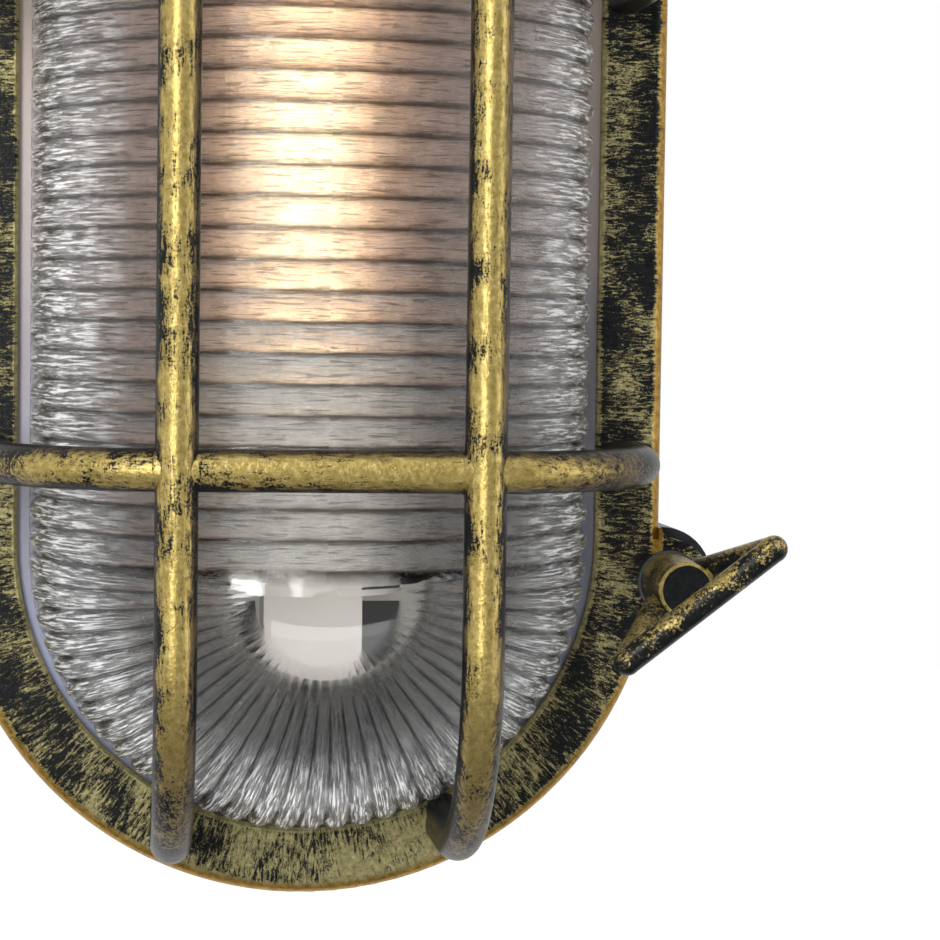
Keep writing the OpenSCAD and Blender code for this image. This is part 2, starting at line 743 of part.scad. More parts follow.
module lamp_holder() {
    color("#d8d2c6") upright() difference() {
        union() {
            on_lamp_axis(holder_top - skirt_len) {
                cylinder(r = skirt_r - ridge, h = skirt_len);
                for (k = [0 : skirt_ridges - 1])
                    rotate([0, 0, k * 360 / skirt_ridges])
                        translate([skirt_r - 2 * ridge, -ridge_w / 2, skirt_band / 2])
                            cube([1.8 * ridge, ridge_w, skirt_len - skirt_band]);
                cylinder(r = skirt_r, h = skirt_band / 2);
                translate([0, 0, skirt_len - skirt_band]) cylinder(r = skirt_r, h = skirt_band);
            }
            on_lamp_axis(holder_foot) cylinder(r = body_r, h = body_len);
            translate([-neck_w / 2, neck_foot, neck_z])
                cube([neck_w, neck_len + 1, lamp_z - neck_z + neck_w / 2]);
        }
        on_lamp_axis(shell_base) cylinder(r = socket_r, h = holder_top - shell_base + past);
        on_lamp_axis(socket_floor) cylinder(r = shell_hole_r + 2, h = contact_hole_d);
        for (x = [-1, 1]) {
            translate([x * neck_screw_x, bracket_mid, neck_z - past])
                cylinder(r = neck_screw_r + thread_play, h = neck_screw_len);
            translate([x * neck_lead_x, 0, 0]) on_lamp_axis(neck_foot - past)
                cylinder(r = bore_r, h = neck_lead_d);
        }
    }
}

module holder_shell() {
    color("#c8a45a") upright() on_lamp_axis(shell_base) difference() {
        union() {
            cylinder(r = shell_r, h = shell_len);
            cylinder(r = socket_r - fit, h = shell_floor_t);
        }
        translate([0, 0, shell_floor_t]) cylinder(r = cap_r + loose, h = shell_len);
        translate([0, 0, -past]) cylinder(r = shell_hole_r, h = shell_floor_t + 2 * past);
    }
}

module centre_contact() {
    color("#c8a45a") upright() on_lamp_axis(socket_floor) {
        cylinder(r = contact_r, h = cap_base - cap_cone_h - button_h - socket_floor);
        cylinder(r = contact_foot_r, h = contact_foot_t);
    }
}

module holder_bracket() {
    leg_w = bracket_len - 2 * leg_inset;
    color("#d9d6cd") upright() translate([0, bracket_mid, 0]) difference() {
        union() {
            translate([-bracket_w / 2, -bracket_len / 2, bracket_z]) cube([bracket_w, bracket_len, sheet_t]);
            for (s = [0, 1])
                mirror([s, 0, 0]) translate([bracket_w / 2 - sheet_t, -leg_w / 2, foot_z]) {
                    cube([sheet_t, leg_w, bracket_z - foot_z]);
                    cube([foot_w + sheet_t, leg_w, sheet_t]);
                }
        }
        for (s = [0, 1])
            mirror([s, 0, 0]) {
                translate([neck_w / 2 + 0.8, window_edge - bracket_len / 2, bracket_z - past])
                    cube([window_w, bracket_len - 2 * window_edge, sheet_t + 2 * past]);
                translate([bracket_boss_x, 0, foot_z - past])
                    cylinder(r = bracket_screw_r + hole_play, h = sheet_t + 2 * past);
                translate([neck_screw_x, 0, bracket_z - past])
                    cylinder(r = neck_screw_r + hole_play, h = sheet_t + 2 * past);
            }
    }
}

module neck_screws() {
    color("#c9ccd0") upright() for (x = [-1, 1])
        translate([x * neck_screw_x, bracket_mid, bracket_z]) mirror([0, 0, 1])
            pan_screw(neck_screw_r, neck_screw_len, m3_head_r, m3_head_t);
}

module bracket_screws() {
    color("#c9ccd0") upright() for (s = [-1, 1])
        translate([s * bracket_boss_x, bracket_mid, foot_z + sheet_t])
            pan_screw(bracket_screw_r, bracket_screw_len, m4_head_r, m4_head_t);
}

module bulb() {
    straight = bulb_len - bulb_neck_len - bulb_r;
    color("#fff3d0") upright() on_lamp_axis(cap_top) {
        cylinder(r1 = cap_r - 0.6, r2 = bulb_r, h = bulb_neck_len);
        translate([0, 0, bulb_neck_len]) cylinder(r = bulb_r, h = straight);
        translate([0, 0, bulb_neck_len + straight]) difference() {
            sphere(bulb_r);
            translate([0, 0, -bulb_r]) cylinder(r = bulb_r + past, h = bulb_r);
        }
    }
}

module bulb_cap() {
    color("#cfc7a8") upright() on_lamp_axis(cap_base) {
        cylinder(r = cap_r, h = cap_len);
        translate([0, 0, -cap_cone_h]) cylinder(r1 = cap_cone_r, r2 = cap_r - 1, h = cap_cone_h);
        translate([0, 0, -cap_cone_h - button_h]) cylinder(r = button_r, h = button_h);
    }
}

module terminal_block() {
    color("#e6e4dc") upright() translate([0, block_y, 0]) difference() {
        translate([-block_w / 2, -block_d / 2, block_foot]) cube([block_w, block_d, block_h]);
        for (k = [-1 : 1])
            translate([k * block_pitch, 0, 0]) {
                for (s = [-1, 1])
                    translate([0, s * clamp_dy, bore_z]) cylinder(r = clamp_screw_r, h = block_h);
                translate([0, -block_d, bore_z]) rotate([-90, 0, 0]) cylinder(r = bore_r, h = 2 * block_d);
            }
        for (s = [-1, 1])
            translate([s * block_screw_x, 0, 0]) {
                cylinder(r = block_screw_r + hole_play, h = block_top);
                translate([0, 0, block_seat]) cylinder(r = block_head_r + fit, h = block_h);
            }
    }
}

module clamp_screws() {
    color("#c8a45a") upright() for (k = [-1 : 1], s = [-1, 1])
        translate([k * block_pitch, block_y + s * clamp_dy, bore_z + bore_r]) difference() {
            cylinder(r = clamp_screw_r - 0.1, h = clamp_len);
            translate([-clamp_screw_r, -slot_w / 2, clamp_len - slot_d])
                cube([2 * clamp_screw_r, slot_w, slot_d + past]);
        }
}

module block_screws() {
    color("#c9ccd0") upright() for (s = [-1, 1])
        translate([s * block_screw_x, block_y, block_seat])
            pan_screw(block_screw_r, block_screw_len, block_head_r, block_head_t);
}

module earth_screw() {
    color("#c8a45a") upright() translate([earth_x, earth_y, earth_boss_h + tag_t])
        pan_screw(bracket_screw_r, earth_screw_len, m4_head_r, m4_head_t);
}

// Ring terminal: a plate round the screw and a barrel that the lead runs into
module earth_tag() {
    color("#c9ccd0") upright() translate([earth_x, earth_y, earth_boss_h]) difference() {
        union() {
            cylinder(r = tag_r, h = tag_t);
            translate([0, -tag_w / 2, 0]) cube([barrel_at + 1, tag_w, tag_t]);
            translate([barrel_at, 0, barrel_r]) rotate([0, 90, 0]) cylinder(r = barrel_r, h = barrel_len);
        }
        translate([0, 0, -past]) cylinder(r = bracket_screw_r + hole_play, h = tag_t + 2 * past);
        translate([barrel_at + 0.4, 0, barrel_r]) rotate([0, 90, 0]) cylinder(r = bore_r, h = barrel_len);
    }
}

// A smooth curve through points: each stretch is cut in n steps
function curve_at(a, b, c, d, t) = (2 * b + (c - a) * t + (2 * a - 5 * b + 4 * c - d) * t * t
    + (3 * b - a - 3 * c + d) * t * t * t) / 2;
function smooth(p, n) = concat([for (i = [0 : len(p) - 2], k = [0 : n - 1])
    curve_at(p[max(i - 1, 0)], p[i], p[i + 1], p[min(i + 2, len(p) - 1)], k / n)], [p[len(p) - 1]]);
function unit(v) = v / norm(v);
// Ring of n points round the path's point i, square to the path; ref is never along the path
function path_ring(p, i, r, n, ref) = let (t = unit(p[min(i + 1, len(p) - 1)] - p[max(i - 1, 0)]),
        u = unit(cross(ref, t)), v = cross(t, u))
    [for (k = [0 : n - 1]) p[i] + r * (u * cos(360 * k / n) + v * sin(360 * k / n))];

module lead(route, ref) {
    sides = 10;
    p = smooth(route, 4);
    points = [for (i = [0 : len(p) - 1]) each path_ring(p, i, lead_r, sides, ref)];
    faces = concat([[for (k = [0 : sides - 1]) k]],
        [for (i = [0 : len(p) - 2], k = [0 : sides - 1]) let (a = i * sides, m = (k + 1) % sides)
            each [[a + k, a + sides + m, a + m], [a + k, a + sides + k, a + sides + m]]],
        [[for (k = [sides - 1 : -1 : 0]) (len(p) - 1) * sides + k]]);
    polyhedron(points = points, faces = faces);
}

// A supply lead's way from pole s of the terminal block, round the grommet, behind the lamp and its holder
// and into the foot of the holder's neck
function supply_route(s) = [[s * block_pitch, block_y - lead_in_block, bore_z],
    [s * block_pitch, block_y - lead_out_of_block, bore_z],
    [s * block_pitch, block_y - 1.5 * lead_out_of_block, bore_z],
    [s * lead_round_x, cable_y, bore_z], [s * lead_round_x, cable_y - grommet_flange_r, lead_floor_z + 2],
    [s * lead_run_x, cable_y - 3 * grommet_flange_r, lead_floor_z],
    [s * lead_run_x, (cable_y + holder_top) / 2, lead_floor_z], [s * lead_run_x, holder_top, lead_floor_z],
    [s * lead_run_x, holder_foot, lead_floor_z + 2], [s * lead_run_x, neck_foot - 6, bracket_z / 2 + 3],
    [s * 6, neck_foot - 11, bracket_z], [s * neck_lead_x, neck_foot - 7, lamp_z - 2],
    [s * neck_lead_x, neck_foot, lamp_z], [s * neck_lead_x, neck_foot + 5, lamp_z]];

module brown_lead() {
    color("#6b4326") upright() lead(supply_route(-1), [1, 0, 0]);
}

module blue_lead() {
    color("#2f5fa8") upright() lead(supply_route(1), [1, 0, 0]);
}

module earth_lead() {
    barrel_z = earth_boss_h + barrel_r;
    arch_z = bore_z + 4.5;
    color("#8aa832") upright() lead([[0, block_y - lead_in_block, bore_z],
        [0, block_y - lead_out_of_block, bore_z], [-1.5, block_y - lead_out_of_block - 2.7, bore_z + 2],
        [-7, earth_y + 6.5, arch_z], [-14, earth_y + 4.5, arch_z - 0.5],
        [earth_x + 16, earth_y + 1.2, barrel_z + 1.7], [earth_x + 12.5, earth_y, barrel_z],
        [earth_x + 6, earth_y, barrel_z]], [0, 0, 1]);
}

module cable_grommet() {
    color("#2b2c2e") upright() translate([0, cable_y, 0]) difference() {
        union() {
            cylinder(r = grommet_flange_r, h = grommet_recess);
            cylinder(r = grommet_r, h = grommet_top);
            translate([0, 0, grommet_top]) cylinder(r = grommet_flange_r, h = grommet_lip_t);
            translate([0, 0, grommet_top + grommet_lip_t])
                cylinder(r1 = cable_r + 3, r2 = cable_r + 1.6, h = grommet_cone_h);
        }
        translate([0, 0, -past])
            cylinder(r = cable_r, h = grommet_top + grommet_lip_t + grommet_cone_h + 2 * past);
    }
}

module wall_screw_seals() {
    color("#2b2c2e") upright() for (s = [-1, 1], t = [-1, 1])
        translate([s * wall_screw_dx / 2, t * wall_screw_dy / 2, screw_pad_h]) difference() {
            cylinder(r = seal_ring_r, h = seal_ring_t);
            translate([0, 0, -past]) cylinder(r = wall_hole_r, h = seal_ring_t + 2 * past);
        }
}

housing();
front_frame();
glass();
glass_gasket();
frame_seal();
glass_clips();
clip_screws();
hinge_pins();
ring_screw_lower();
ring_screw_upper();
screw_washer_lower();
screw_washer_upper();
lamp_holder();
holder_shell();
centre_contact();
holder_bracket();
neck_screws();
bracket_screws();
bulb();
bulb_cap();
terminal_block();
clamp_screws();
block_screws();
earth_screw();
earth_tag();
brown_lead();
blue_lead();
earth_lead();
cable_grommet();
wall_screw_seals();
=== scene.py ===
"""Looks of the oblong caged wall light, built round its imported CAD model.

Lengths are in metres. +Z is up along the light, the wall is the plane Y = 0 and the room is towards -Y.
"""

import math

import bmesh
import bpy
import numpy as np
from mathutils import Matrix, Vector


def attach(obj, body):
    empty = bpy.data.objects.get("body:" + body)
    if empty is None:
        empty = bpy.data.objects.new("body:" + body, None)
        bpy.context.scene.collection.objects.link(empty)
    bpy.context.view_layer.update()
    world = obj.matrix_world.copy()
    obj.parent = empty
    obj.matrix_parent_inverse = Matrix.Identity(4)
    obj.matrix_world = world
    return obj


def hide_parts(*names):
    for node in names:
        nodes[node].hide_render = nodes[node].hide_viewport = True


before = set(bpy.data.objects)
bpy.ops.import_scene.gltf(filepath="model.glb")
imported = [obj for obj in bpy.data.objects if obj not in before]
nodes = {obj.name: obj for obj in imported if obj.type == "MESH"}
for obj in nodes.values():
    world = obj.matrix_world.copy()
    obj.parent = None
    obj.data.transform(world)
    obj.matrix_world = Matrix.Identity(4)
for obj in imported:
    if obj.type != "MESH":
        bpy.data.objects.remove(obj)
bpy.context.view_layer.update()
scene = bpy.context.scene

# Main sizes of the light, the same as in the CAD model
STRAIGHT_HALF = 0.069
FRAME_R = 0.0775
OPEN_R = 0.0628
FLANGE_MID_R = (FRAME_R + OPEN_R) / 2
HOUSING_INNER_R = 0.0725
HOUSING_FLOOR_Y = -0.0035
FLANGE_Y = -0.050
LONG_BAR_X = 0.030
BAR_R = 0.0042
BAR_START_Y = FLANGE_Y - 0.0015
LUG_X, LUG_Z = 0.0793, 0.0776
COLLAR_TOP_Y, COLLAR_TOP_HALF = -0.0708, 0.0016
COLLAR_RIM_R, COLLAR_RIM_HALF = 0.0058, 0.0005
COLLAR_FLAT_R = 0.0053
LAMP_Y = -0.050

# The lamp's two glowing sticks: middle, gap between them, length, and how far their glow reaches
STICKS_X, STICKS_Z = -0.003, 0.012
STICK_GAP = 0.009
STICK_LEN = 0.034
GLOW_REACH = 0.015

# How far past a size its finish reaches, so that the faces that lie on the size have it too
MARGIN = 0.0003

# Where the finishes change: each pair is where a change starts and where it is full
GOLDEN_END_Z = (-0.115, -0.142)
GOLDEN_RIM_R = (FRAME_R - 0.0028, FRAME_R - 0.0015)
INSIDE_LUGS_R = (FRAME_R + 0.0006, FRAME_R + 0.0001)
GOLDEN_LIP_R = (OPEN_R + 0.0012, OPEN_R + 0.0003)
RUBBED_BARS_Z = (-0.090, -0.130)
BROWN_BARS_Z = (-0.085, -0.120)
SHADED_FLANKS = (1.34, 1.0)
SHADED_END_Z = (-0.050, -0.075)
SHADED_SIDE_X = (0.018, 0.026)
SHADED_SIDE_Z = (-0.010, -0.030)
GASKET_LAMPLIGHT_Z = (-0.10, 0.04)
REFLECTION_STREAKS_R = (0.039, 0.053)
GROUND_FOOT_Y = (FLANGE_Y - 0.004, FLANGE_Y + 0.001)

# How black the paint is left: what is taken off the sum of the noises that spread the gold
FLANGE_BLACK = 0.71
BARS_BLACK = 0.56
RING_BLACK = 0.5

# The glass, whose ribs are drawn finer and a little deeper than in the CAD model
GLASS_R = 0.0603
GLASS_HALF = 0.0712
DOME_RISE = 0.051
DOME_FULL = 2.3
DOME_LIFT = 1.8
GLASS_WALL = 0.004
RIB_DEPTH = 0.0018
SIDE_RIBS = 23
END_RIBS = 33
FAN_SHIFT = 0.0035
SPOT_SHARE = 0.33
SPOT_FADE = 0.11
ROUND_TO = 0.93
MAP_STEP = 0.010
RIM_R = 0.0648
RIM_BACK_Y = -0.0419
RIM_FRONT_Y = -0.0456
RIM_EDGE = 0.0003
DOME_FOOT = 0.002

# The stage: the floor's height and half width, the dark cloths' half width and their lower edge
FLOOR_Z = -0.9
FLOOR_HALF = 6.0
CLOTH_HALF = 2.2
CLOTH_Z = FLOOR_Z + 0.02


# Materials

def lin(hex_colour):
    """An sRGB hex colour as linear RGBA: each channel v becomes v/12.92 or ((v + 0.055)/1.055)^2.4."""
    v = np.array([int(hex_colour[i:i + 2], 16) for i in (1, 3, 5)]) / 255
    return (*np.where(v <= 0.04045, v / 12.92, ((v + 0.055) / 1.055) ** 2.4).tolist(), 1.0)


def feed(tree, node, feeds):
    """Gives a node's inputs, by name or number, a value or what is linked to them: a socket, or a node
    whose first live output is meant."""
    for key, value in feeds.items():
        if isinstance(value, bpy.types.Node):
            value = next(o for o in value.outputs if o.enabled)
        if isinstance(value, bpy.types.NodeSocket):
            tree.links.new(value, node.inputs[key])
        else:
            node.inputs[key].default_value = value


def add(tree, kind, feeds=None, stops=(), **settings):
    """Adds a node with its settings and feeds. stops are a colour ramp's (place, colour), where the
    colour is a hex colour or a grey value."""
    node = tree.nodes.new(kind)
    for name, value in settings.items():
        setattr(node, name, value)
    feed(tree, node, feeds or {})
    for i, (place, colour) in enumerate(stops):
        ends = node.color_ramp.elements
        end = ends[i] if i < len(ends) else ends.new(place)
        end.position = place
        end.color = lin(colour) if isinstance(colour, str) else (colour, colour, colour, 1)
    return node


MATH, MIX, RAMP, NOISE = "ShaderNodeMath", "ShaderNodeMix", "ShaderNodeValToRGB", "ShaderNodeTexNoise"
MAP_RANGE, VECTOR_MATH = "ShaderNodeMapRange", "ShaderNodeVectorMath"
JOIN_XYZ, SPLIT_XYZ, BUMP = "ShaderNodeCombineXYZ", "ShaderNodeSeparateXYZ", "ShaderNodeBump"
# a mix node's inputs: its share, and what it mixes from and to for each type
MIX_BY = 0
NUMBER_FROM, NUMBER_TO = 2, 3
VECTOR_FROM, VECTOR_TO = 4, 5
COLOUR_FROM, COLOUR_TO = 6, 7


def span(ends):
    """A map range's two source values: where a change starts and where it is full."""
    return {"From Min": ends[0], "From Max": ends[1]}


def summed(tree, start, *terms):
    """start plus each term's number times its weight."""
    total = start
    for number, weight in terms:
        total = add(tree, MATH, {0: number, 1: weight, 2: total}, operation="MULTIPLY_ADD")
    return total


def finish_of(name, colour=None, rough=None, metal=0.0, **more):
    """A new material with its shader's fixed values; returns the material, its tree and its shader."""
    mat = bpy.data.materials.new(name)
    mat.use_nodes = True
    shader = mat.node_tree.nodes["Principled BSDF"]
    if colour:
        shader.inputs["Base Color"].default_value = lin(colour)
    if rough is not None:
        shader.inputs["Roughness"].default_value = rough
    shader.inputs["Metallic"].default_value = metal
    for key, value in more.items():
        shader.inputs[key.replace("_", " ")].default_value = value
    return mat, mat.node_tree, shader


def place_on(tree):
    """The place on the piece in metres, as a vector and as its three parts."""
    coord = add(tree, "ShaderNodeTexCoord").outputs["Object"]
    parts = add(tree, SPLIT_XYZ, {0: coord}).outputs
    return coord, parts[0], parts[1], parts[2]


def turned(tree):
    """The three parts of the surface's direction. The second is -1 where it faces the room."""
    normal = add(tree, "ShaderNodeTexCoord").outputs["Normal"]
    return add(tree, SPLIT_XYZ, {0: normal}).outputs


def place_round_oblong(tree, z, x):
    """Distance r from the oblong's spine, and the way s along the outline: the height beside the straight
    sides, and from there on the angle round the end times the flange's middle radius."""
    height = add(tree, MATH, {0: z}, operation="ABSOLUTE")
    across = add(tree, MATH, {0: x}, operation="ABSOLUTE")
    over = add(tree, MATH, {0: height, 1: STRAIGHT_HALF}, operation="SUBTRACT")
    over = add(tree, MATH, {0: over, 1: 0.0}, operation="MAXIMUM")
    r = add(tree, VECTOR_MATH, {0: add(tree, JOIN_XYZ, {0: across, 1: over})}, operation="LENGTH")
    angle = add(tree, MATH, {0: over, 1: across}, operation="ARCTAN2")
    side = add(tree, MATH, {0: height, 1: STRAIGHT_HALF}, operation="MINIMUM")
    # the four quarters are set apart, so that their strokes differ
    left_or_right = add(tree, MATH, {0: x}, operation="SIGN")
    low_or_high = add(tree, MATH, {0: z}, operation="SIGN")
    s = summed(tree, side, (angle, FLANGE_MID_R), (left_or_right, 0.4), (low_or_high, 0.9))
    return r, s


def grained(tree, shader, coord, scale, detail, depth):
    """Gives the whole piece a fine relief of the given depth."""
    fine = add(tree, NOISE, {"Vector": coord, "Scale": scale, "Detail": detail})
    feed(tree, shader, {"Normal": add(tree, BUMP, {"Height": fine, "Distance": depth})})


def one_tone(name, colour, rough, metal, grain, grain_mm, mottle=0.08, **more):
    """A finish of one colour with a cloudy change of its value, and a relief of depth grain whose grains
    are grain_mm millimetres wide."""
    mat, tree, shader = finish_of(name, None, rough, metal, **more)
    coord = place_on(tree)[0]
    base = np.array(lin(colour)[:3])
    cloud = add(tree, NOISE, {"Vector": coord, "Scale": 90.0, "Detail": 4.0})
    darker, paler = base * (1 - 2.5 * mottle), np.minimum(1, base * (1 + mottle))
    tone = add(tree, MIX, {MIX_BY: cloud, COLOUR_FROM: (*darker, 1), COLOUR_TO: (*paler, 1)},
               data_type="RGBA")
    feed(tree, shader, {"Base Color": tone})
    grained(tree, shader, coord, 1000 / grain_mm, 2.0, grain)
    return mat


GOLD = [(0.25, "#85733c"), (0.5, "#a89456"), (0.75, "#c8b478")]
WARM_GOLD = [(0.25, "#5c4418"), (0.5, "#98752f"), (0.75, "#bd994c")]
PALE_OLIVE = [(0.25, "#55543a"), (0.5, "#94906a"), (0.75, "#c4b98a")]
BROWN = "#5a4c38"
SOOT = [(0.3, "#0a0b0c"), (0.7, "#191b1c")]


def gold_over_black(tree, shader, coord, amount, other_tones=()):
    """Lays dull gold paint over satin black where amount passes its middle: amount is a number that
    noise has roughened. The gold film is a little raised and shines like bronze powder. other_tones
    are (share, tones), laid over the gold one after the other: where the share is 1 the film has those
    tones, a ramp's stops or one hex colour."""
    cover = add(tree, RAMP, {0: amount}, [(0.47, 0.0), (0.52, 0.6), (0.62, 1.0)])
    tint = add(tree, NOISE, {"Vector": coord, "Scale": 700.0, "Detail": 5.0, "Roughness": 0.7})
    tone = add(tree, RAMP, {0: tint}, GOLD)
    for share, tones in other_tones:
        other = lin(tones) if isinstance(tones, str) else add(tree, RAMP, {0: tint}, tones)
        tone = add(tree, MIX, {MIX_BY: share, COLOUR_FROM: tone, COLOUR_TO: other}, data_type="RGBA")
    soot = add(tree, RAMP, {0: tint}, SOOT)
    colour = add(tree, MIX, {MIX_BY: cover, COLOUR_FROM: soot, COLOUR_TO: tone}, data_type="RGBA")
    metal = add(tree, MATH, {0: cover, 1: 0.6}, operation="MULTIPLY")
    rough = summed(tree, 0.24, (tint, 0.2))
    sand = add(tree, NOISE, {"Vector": coord, "Scale": 1300.0, "Detail": 3.0})
    relief = add(tree, BUMP, {"Height": summed(tree, sand, (cover, 0.4)), "Distance": 0.0001})
    feed(tree, shader, {"Base Color": colour, "Metallic": metal, "Roughness": rough, "Normal": relief})


def brushed_casting():
    """Front frame: sand-cast aluminium, sprayed satin black and dry-brushed with dull gold. The gold lies in
    ragged strokes 0.3 to 0.5 mm wide across the flange, thickens on its worn edges and lower end, and covers
    the fronts of the bars, while their sides and pits stay black. On the bars' sides the black and the brown
    are partly dry-brushing and partly painted shade, darkest on the right."""
    mat, tree, shader = finish_of("BlackCastingDryBrushedGold", Specular_IOR_Level=0.12)
    coord, x, y, z = place_on(tree)
    to_right, to_wall, _ = turned(tree)
    facing = add(tree, MATH, {0: to_wall}, operation="ABSOLUTE")
    r, s = place_round_oblong(tree, z, x)
    speck = add(tree, NOISE, {"Vector": coord, "Scale": 2300.0, "Detail": 2.0})
    # flange: strokes across it, and more gold at its lower end, on its rim and on the lip round the glass
    lie = add(tree, VECTOR_MATH, {0: add(tree, JOIN_XYZ, {0: r, 1: s}), 1: (330.0, 1500.0, 1.0)},
              operation="MULTIPLY")
    stroke = add(tree, NOISE, {"Vector": lie, "Scale": 1.0, "Detail": 6.0, "Roughness": 0.8,
                               "Distortion": 0.8})
    patch = add(tree, NOISE, {"Vector": coord, "Scale": 90.0, "Detail": 4.0})
    low = add(tree, MAP_RANGE, {"Value": z, **span(GOLDEN_END_Z), "To Max": 0.15})
    rim = add(tree, MAP_RANGE, {"Value": r, **span(GOLDEN_RIM_R)})
    off_lugs = add(tree, MAP_RANGE, {"Value": r, **span(INSIDE_LUGS_R)})
    rim = add(tree, MATH, {0: rim, 1: off_lugs}, operation="MULTIPLY")
    lip = add(tree, MAP_RANGE, {"Value": r, **span(GOLDEN_LIP_R)})
    flange = summed(tree, low, (patch, 0.7), (stroke, 1.3), (speck, 0.3), (1.0, -FLANGE_BLACK),
                    (rim, 0.3), (lip, 0.2))
    # bars: fine strokes along them, larger bare patches, and a little more gold at their lower ends
    across = add(tree, MATH, {0: x}, operation="ABSOLUTE")
    upright = add(tree, MATH, {0: across, 1: LONG_BAR_X, 2: BAR_R + 2 * MARGIN}, operation="COMPARE")
    squash = add(tree, MIX, {MIX_BY: upright, VECTOR_FROM: (250.0, 1300.0, 1300.0),
                             VECTOR_TO: (1300.0, 1300.0, 250.0)}, data_type="VECTOR")
    lie = add(tree, VECTOR_MATH, {0: coord, 1: squash}, operation="MULTIPLY")
    streak = add(tree, NOISE, {"Vector": lie, "Scale": 1.0, "Detail": 5.0, "Roughness": 0.7})
    bare = add(tree, NOISE, {"Vector": coord, "Scale": 110.0, "Detail": 5.0})
    rubbed = add(tree, MAP_RANGE, {"Value": z, **span(RUBBED_BARS_Z), "To Max": 0.04})
    # more gold on the faces towards the room: partly dry-brushing, partly painted shade on the bars' sides
    bar = summed(tree, rubbed, (facing, 0.3), (streak, 0.7), (speck, 0.4), (bare, 0.7), (1.0, -BARS_BLACK))
    on_bars = add(tree, MATH, {0: y, 1: BAR_START_Y}, operation="LESS_THAN")
    amount = add(tree, MIX, {MIX_BY: on_bars, NUMBER_FROM: flange, NUMBER_TO: bar}, data_type="FLOAT")
    # the flange's film is paler and its rim warmer
    off_bars = add(tree, MATH, {0: 1.0, 1: on_bars}, operation="SUBTRACT")
    pale = add(tree, MATH, {0: off_bars, 1: 0.75}, operation="MULTIPLY")
    warm = add(tree, MATH, {0: rim, 1: off_bars}, operation="MULTIPLY")
    # painted shade: towards the flanks of the bars the gold turns to brown, most of all on the right; towards
    # the lower ends of the bars it turns brown too
    flank_shade = summed(tree, facing, (to_right, -0.2), (streak, 0.9))
    shade_and_end_brown = add(tree, MAP_RANGE, {"Value": flank_shade, **span(SHADED_FLANKS), "To Max": 0.95})
    low_end = add(tree, MAP_RANGE, {"Value": z, **span(BROWN_BARS_Z), "To Max": 0.7})
    shade_and_end_brown = add(tree, MATH, {0: shade_and_end_brown, 1: low_end}, operation="MAXIMUM")
    shade_and_end_brown = add(tree, MATH, {0: shade_and_end_brown, 1: on_bars}, operation="MULTIPLY")
    gold_over_black(tree, shader, coord, amount, [(pale, PALE_OLIVE), (warm, WARM_GOLD), (shade_and_end_brown, BROWN)])
    return mat


def brushed_ring():
    """Closing screws: the same black and gold on the cast screw. The collar's flat top and the outer face of
    the ring stay black, and gold sits on the collar's rim and side and in scratches on the ring."""
    mat, tree, shader = finish_of("BlackScrewGoldEdges", Specular_IOR_Level=0.2)
    coord, x, y, z = place_on(tree)
    height = add(tree, MATH, {0: z}, operation="ABSOLUTE")
    up = add(tree, MATH, {0: height, 1: LUG_Z}, operation="SUBTRACT")
    away = add(tree, MATH, {0: x, 1: LUG_X}, operation="SUBTRACT")
    r = add(tree, VECTOR_MATH, {0: add(tree, JOIN_XYZ, {0: away, 1: up})}, operation="LENGTH")
    scratch = add(tree, NOISE, {"Vector": coord, "Scale": 1400.0, "Detail": 5.0, "Roughness": 0.75})
    patch = add(tree, NOISE, {"Vector": coord, "Scale": 160.0, "Detail": 3.0})
    top = add(tree, MATH, {0: y, 1: COLLAR_TOP_Y, 2: COLLAR_TOP_HALF}, operation="COMPARE")
    rim = add(tree, MATH, {0: r, 1: COLLAR_RIM_R, 2: COLLAR_RIM_HALF}, operation="COMPARE")
    rim = add(tree, MATH, {0: rim, 1: top}, operation="MULTIPLY")
    flat_top = add(tree, MATH, {0: r, 1: COLLAR_FLAT_R}, operation="LESS_THAN")
    flat_top = add(tree, MATH, {0: flat_top, 1: top}, operation="MULTIPLY")
    # the upper side of the ring and its arms catches the brush
    upward = turned(tree)[2]
    amount = summed(tree, -RING_BLACK, (patch, 0.7), (scratch, 1.1), (rim, 0.25), (flat_top, -0.2),
                    (upward, 0.16))
    gold_over_black(tree, shader, coord, amount)
    return mat


